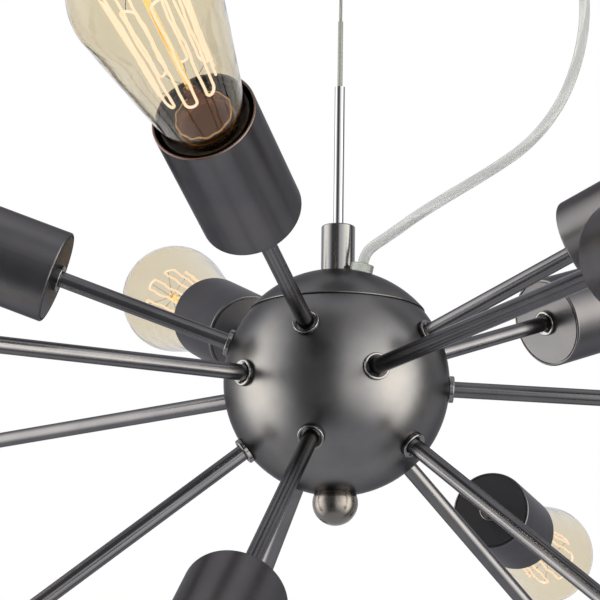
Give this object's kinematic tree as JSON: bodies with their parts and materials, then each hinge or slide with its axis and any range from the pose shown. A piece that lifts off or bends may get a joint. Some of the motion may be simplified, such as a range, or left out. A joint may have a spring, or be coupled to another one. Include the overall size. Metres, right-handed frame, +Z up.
{
  "type": "sputnik chandelier",
  "caption": "Sputnik chandelier: a dark metal ball on a steel cable carries rings of tubular arms, each ending in a metal cup with a lampholder and an Edison-style lamp.",
  "frame": {"origin": "on the ceiling plane, at the middle of the canopy and of the crossbar's two screw slots", "axes": "+Z up into the ceiling, the cable hangs along -Z, +X to the side where the flex leaves the canopy, and the picture is taken from the -Y side"},
  "size_m": [0.9619, 0.9997, 0.5883],
  "materials": {
    "gunmetal": "satin black-nickel plating",
    "polished_nickel": "polished nickel plating",
    "steel_cable": "stranded galvanised steel cable with a crimped sleeve",
    "zinc_steel": "zinc-plated steel",
    "black_phenolic": "moulded black phenolic",
    "clear_pvc": "clear PVC over tinned copper strands",
    "lamp_glass": "clear amber-tinted glass, with a brass screw cap"
  },
  "bodies": {
    "fixture": {"arm_upper_1": "gunmetal", "cup_upper_1": "gunmetal", "arm_upper_2": "gunmetal", "cup_upper_2": "gunmetal", "arm_upper_3": "gunmetal", "cup_upper_3": "gunmetal", "arm_upper_4": "gunmetal", "cup_upper_4": "gunmetal", "arm_upper_5": "gunmetal", "cup_upper_5": "gunmetal", "arm_middle_1": "gunmetal", "cup_middle_1": "gunmetal", "arm_middle_2": "gunmetal", "cup_middle_2": "gunmetal", "arm_middle_3": "gunmetal", "cup_middle_3": "gunmetal", "arm_middle_4": "gunmetal", "cup_middle_4": "gunmetal", "arm_middle_5": "gunmetal", "cup_middle_5": "gunmetal", "arm_lower_1": "gunmetal", "cup_lower_1": "gunmetal", "arm_lower_2": "gunmetal", "cup_lower_2": "gunmetal", "arm_lower_3": "gunmetal", "cup_lower_3": "gunmetal", "arm_lower_4": "gunmetal", "cup_lower_4": "gunmetal", "arm_lower_5": "gunmetal", "cup_lower_5": "gunmetal", "hub_bowl": "gunmetal", "hub_cap": "gunmetal", "finial": "gunmetal", "neck": "polished_nickel", "suspension_tube": "polished_nickel", "suspension_cable": "steel_cable", "threaded_rods": "zinc_steel", "crossbar": "zinc_steel", "canopy": "gunmetal", "cable_grip": "polished_nickel", "collars_and_nuts": "gunmetal", "lampholders": "black_phenolic", "flex": "clear_pvc", "flex_bushes": "clear_pvc"},
    "bulb_upper_1": {"bulb_upper_1": "lamp_glass"},
    "bulb_upper_2": {"bulb_upper_2": "lamp_glass"},
    "bulb_upper_3": {"bulb_upper_3": "lamp_glass"},
    "bulb_upper_4": {"bulb_upper_4": "lamp_glass"},
    "bulb_upper_5": {"bulb_upper_5": "lamp_glass"},
    "bulb_middle_1": {"bulb_middle_1": "lamp_glass"},
    "bulb_middle_2": {"bulb_middle_2": "lamp_glass"},
    "bulb_middle_3": {"bulb_middle_3": "lamp_glass"},
    "bulb_middle_4": {"bulb_middle_4": "lamp_glass"},
    "bulb_middle_5": {"bulb_middle_5": "lamp_glass"},
    "bulb_lower_1": {"bulb_lower_1": "lamp_glass"},
    "bulb_lower_2": {"bulb_lower_2": "lamp_glass"},
    "bulb_lower_3": {"bulb_lower_3": "lamp_glass"},
    "bulb_lower_4": {"bulb_lower_4": "lamp_glass"},
    "bulb_lower_5": {"bulb_lower_5": "lamp_glass"},
    "grip_plunger": {"grip_plunger": "polished_nickel"}
  },
  "joints": [
    {"name": "bulb_upper_1_out", "type": "slide", "parent": "fixture", "child": "bulb_upper_1", "axis": [-0.2622, -0.9024, 0.342], "range_m": [0, 0.02]},
    {"name": "bulb_upper_2_out", "type": "slide", "parent": "fixture", "child": "bulb_upper_2", "axis": [0.7772, -0.5282, 0.342], "range_m": [0, 0.02]},
    {"name": "bulb_upper_3_out", "type": "slide", "parent": "fixture", "child": "bulb_upper_3", "axis": [0.7425, 0.5759, 0.342], "range_m": [0, 0.02]},
    {"name": "bulb_upper_4_out", "type": "slide", "parent": "fixture", "child": "bulb_upper_4", "axis": [-0.3183, 0.8841, 0.342], "range_m": [0, 0.02]},
    {"name": "bulb_upper_5_out", "type": "slide", "parent": "fixture", "child": "bulb_upper_5", "axis": [-0.9392, -0.0295, 0.342], "range_m": [0, 0.02]},
    {"name": "bulb_middle_1_out", "type": "slide", "parent": "fixture", "child": "bulb_middle_1", "axis": [0.3352, -0.9413, -0.0401], "range_m": [0, 0.02]},
    {"name": "bulb_middle_2_out", "type": "slide", "parent": "fixture", "child": "bulb_middle_2", "axis": [0.9988, 0.0279, -0.0401], "range_m": [0, 0.02]},
    {"name": "bulb_middle_3_out", "type": "slide", "parent": "fixture", "child": "bulb_middle_3", "axis": [0.2821, 0.9585, -0.0401], "range_m": [0, 0.02]},
    {"name": "bulb_middle_4_out", "type": "slide", "parent": "fixture", "child": "bulb_middle_4", "axis": [-0.8244, 0.5645, -0.0401], "range_m": [0, 0.02]},
    {"name": "bulb_middle_5_out", "type": "slide", "parent": "fixture", "child": "bulb_middle_5", "axis": [-0.7917, -0.6097, -0.0401], "range_m": [0, 0.02]},
    {"name": "bulb_lower_1_out", "type": "slide", "parent": "fixture", "child": "bulb_lower_1", "axis": [-0.2093, -0.7597, -0.6157], "range_m": [0, 0.02]},
    {"name": "bulb_lower_2_out", "type": "slide", "parent": "fixture", "child": "bulb_lower_2", "axis": [0.6579, -0.4338, -0.6157], "range_m": [0, 0.02]},
    {"name": "bulb_lower_3_out", "type": "slide", "parent": "fixture", "child": "bulb_lower_3", "axis": [0.6158, 0.4916, -0.6157], "range_m": [0, 0.02]},
    {"name": "bulb_lower_4_out", "type": "slide", "parent": "fixture", "child": "bulb_lower_4", "axis": [-0.2773, 0.7376, -0.6157], "range_m": [0, 0.02]},
    {"name": "bulb_lower_5_out", "type": "slide", "parent": "fixture", "child": "bulb_lower_5", "axis": [-0.7872, -0.0357, -0.6157], "range_m": [0, 0.02]},
    {"name": "grip_plunger_press", "type": "slide", "parent": "fixture", "child": "grip_plunger", "axis": [0, 0, 1], "range_m": [0, 0.0025], "stiffness_N_per_m": 400, "springref_m": -0.002}
  ]
}
